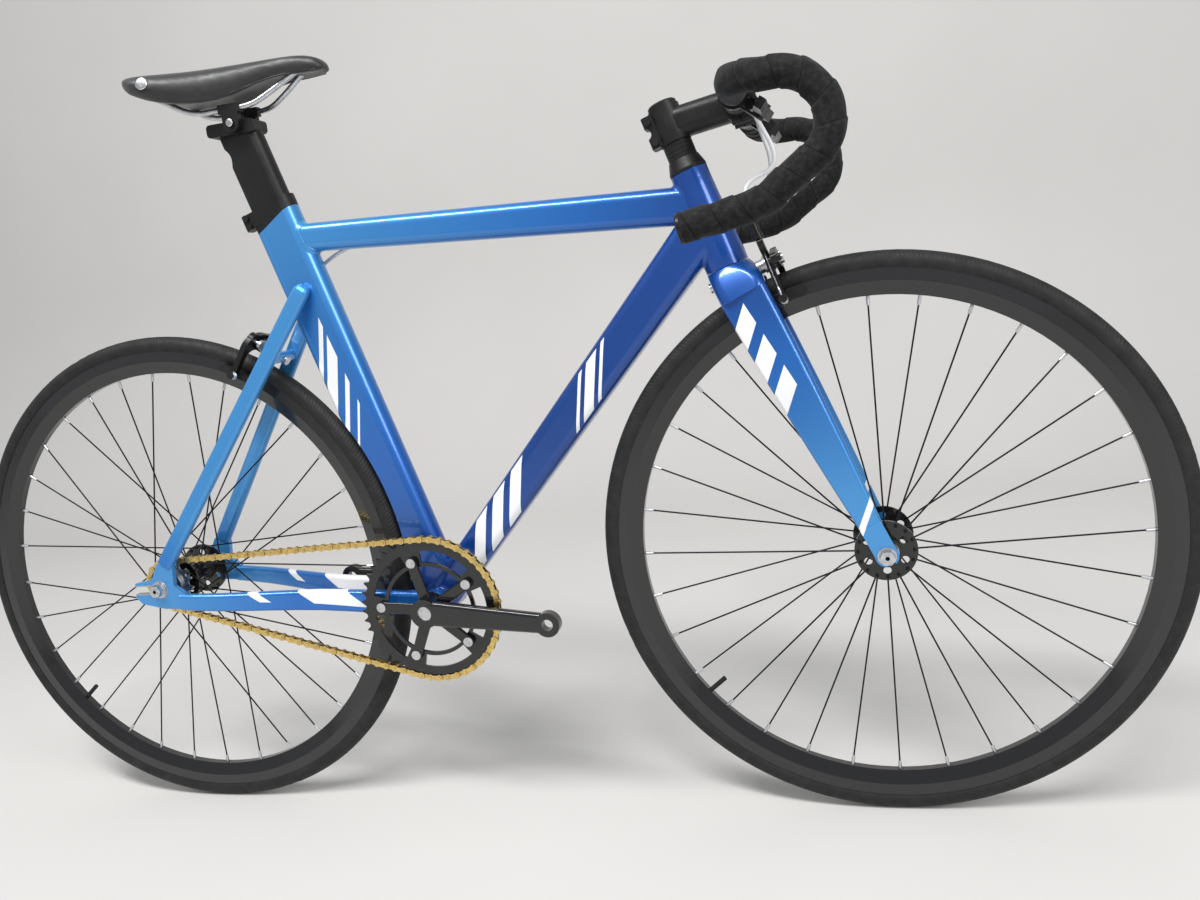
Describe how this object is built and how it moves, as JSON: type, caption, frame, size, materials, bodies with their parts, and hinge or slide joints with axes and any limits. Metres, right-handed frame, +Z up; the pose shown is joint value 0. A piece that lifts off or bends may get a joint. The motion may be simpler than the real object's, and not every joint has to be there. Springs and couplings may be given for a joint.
{
  "type": "fixed gear bicycle",
  "caption": "Fixed gear track bike with aero tubes, drop bar, deep rims, rim brakes worked from levers on the bar tops, and a chain drive without freewheel.",
  "frame": {"origin": "on the ground, midway between the two wheel axles, in the bike's middle plane", "axes": "+X forward along the bike, +Y to the rider's left, +Z up"},
  "size_m": [1.6179, 0.432, 1],
  "materials": {
    "frame_blue": "metallic gloss",
    "fork_blue": "metallic gloss",
    "black_alloy": "satin",
    "gloss_black": "gloss",
    "black_wire": "satin",
    "steel": "satin",
    "gold_chain": "satin",
    "tyre_black": "matte",
    "tube_rubber": "matte",
    "tape": "matte",
    "plug_plastic": "gloss",
    "saddle_black": "satin",
    "clamp_black": "satin",
    "white_housing": "gloss",
    "shoe_rubber": "matte"
  },
  "bodies": {
    "frame": {"head_tube": "frame_blue", "top_tube": "frame_blue", "down_tube": "frame_blue", "seat_tube": "frame_blue", "bottom_bracket_shell": "frame_blue", "chainstays": "frame_blue", "seatstays": "frame_blue", "track_ends": "frame_blue", "seat_clamp": "black_alloy", "headset_bearings": "steel", "bottom_bracket_cartridge": "steel", "rear_brake_bracket": "steel", "rear_brake_cable": "white_housing", "rear_axle": "steel", "chain": "gold_chain"},
    "fork": {"fork_crown": "fork_blue", "fork_blades": "fork_blue", "headset_cover": "black_alloy", "stem": "black_alloy", "stem_faceplate": "black_alloy", "stem_bolts": "steel", "top_cap": "black_alloy", "handlebar": "black_alloy", "bar_tape": "tape", "bar_end_plugs": "plug_plastic", "lever_clamps": "black_alloy", "front_brake_bracket": "steel", "front_brake_cable": "white_housing", "front_axle": "steel"},
    "front_wheel": {"front_tyre": "tyre_black", "front_inner_tube": "tube_rubber", "front_rim": "gloss_black", "front_spokes": "black_wire", "front_hub": "gloss_black"},
    "rear_wheel": {"rear_tyre": "tyre_black", "rear_inner_tube": "tube_rubber", "rear_rim": "gloss_black", "rear_spokes": "black_wire", "rear_hub": "gloss_black", "cog": "steel", "lockring": "steel"},
    "crank_set": {"crank_right": "gloss_black", "crank_left": "gloss_black", "spindle": "steel", "chainring": "gloss_black", "crank_bolts": "steel"},
    "seat_post": {"seatpost": "black_alloy"},
    "saddle": {"saddle_cover": "saddle_black", "saddle_rails": "steel", "saddle_clamp": "clamp_black"},
    "lever_right": {"brake_lever_right": "black_alloy"},
    "lever_left": {"brake_lever_left": "black_alloy"},
    "front_arm_right": {"front_brake_arm_right": "black_alloy", "front_brake_shoe_right": "shoe_rubber"},
    "front_arm_left": {"front_brake_arm_left": "black_alloy", "front_brake_shoe_left": "shoe_rubber"},
    "rear_arm_left": {"rear_brake_arm_left": "black_alloy", "rear_brake_shoe_left": "shoe_rubber"},
    "rear_arm_right": {"rear_brake_arm_right": "black_alloy", "rear_brake_shoe_right": "shoe_rubber"}
  },
  "joints": [
    {"name": "steering", "type": "hinge", "parent": "frame", "child": "fork", "pos_m": [0.42805, 0, 0.32226], "axis": [-0.2924, 0, 0.9563], "range_deg": [-60, 60], "deforming": ["rear_brake_cable"]},
    {"name": "front_wheel_spin", "type": "hinge", "parent": "fork", "child": "front_wheel", "pos_m": [0.473, 0, 0.336], "axis": [0, 1, 0], "continuous": true},
    {"name": "rear_wheel_spin", "type": "hinge", "parent": "frame", "child": "rear_wheel", "pos_m": [-0.473, 0, 0.336], "axis": [0, 1, 0], "continuous": true, "deforming": ["chain"]},
    {"name": "crank_spin", "type": "hinge", "parent": "frame", "child": "crank_set", "pos_m": [-0.09349, 0, 0.288], "axis": [0, 1, 0], "continuous": true},
    {"name": "brake_lever_right_pull", "type": "hinge", "parent": "fork", "child": "lever_right", "pos_m": [0.37721, -0.06843, 0.82818], "axis": [-0.6156, 0.009, -0.788], "range_deg": [0, 7], "stiffness_Nm_per_rad": 4, "springref_deg": -2.86, "deforming": ["front_brake_cable"]},
    {"name": "brake_lever_left_pull", "type": "hinge", "parent": "fork", "child": "lever_left", "pos_m": [0.37721, 0.06843, 0.82818], "axis": [0.6156, 0.009, 0.788], "range_deg": [0, 7], "stiffness_Nm_per_rad": 4, "springref_deg": -2.86, "deforming": ["rear_brake_cable"]},
    {"name": "front_arm_right_close", "type": "hinge", "parent": "fork", "child": "front_arm_right", "pos_m": [0.3731, 0, 0.67302], "axis": [0.9563, 0, 0.2924], "range_deg": [0, 1.52]},
    {"name": "front_arm_left_close", "type": "hinge", "parent": "fork", "child": "front_arm_left", "pos_m": [0.37135, 0.017, 0.67876], "axis": [-0.9563, 0, -0.2924], "range_deg": [0, 1.52]},
    {"name": "rear_arm_left_close", "type": "hinge", "parent": "frame", "child": "rear_arm_left", "pos_m": [-0.29951, 0, 0.64607], "axis": [-0.8101, 0, 0.5863], "range_deg": [0, 1.52]},
    {"name": "rear_arm_right_close", "type": "hinge", "parent": "frame", "child": "rear_arm_right", "pos_m": [-0.29599, -0.017, 0.65093], "axis": [0.8101, 0, -0.5863], "range_deg": [0, 1.52]},
    {"name": "seatpost_height", "type": "slide", "parent": "frame", "child": "seat_post", "axis": [-0.284, 0, 0.9588], "range_m": [-0.05, 0.03]},
    {"name": "saddle_tilt", "type": "hinge", "parent": "seat_post", "child": "saddle", "pos_m": [-0.27146, 0, 0.9205], "axis": [0, 1, 0], "range_deg": [-10, 10]}
  ],
  "couplings": [
    {"joint": "crank_spin", "follows": "rear_wheel_spin", "ratio": 0.34783},
    {"joint": "front_arm_right_close", "follows": "brake_lever_right_pull", "ratio": 0.21429},
    {"joint": "front_arm_left_close", "follows": "brake_lever_right_pull", "ratio": 0.21429},
    {"joint": "rear_arm_left_close", "follows": "brake_lever_left_pull", "ratio": 0.21429},
    {"joint": "rear_arm_right_close", "follows": "brake_lever_left_pull", "ratio": 0.21429}
  ]
}
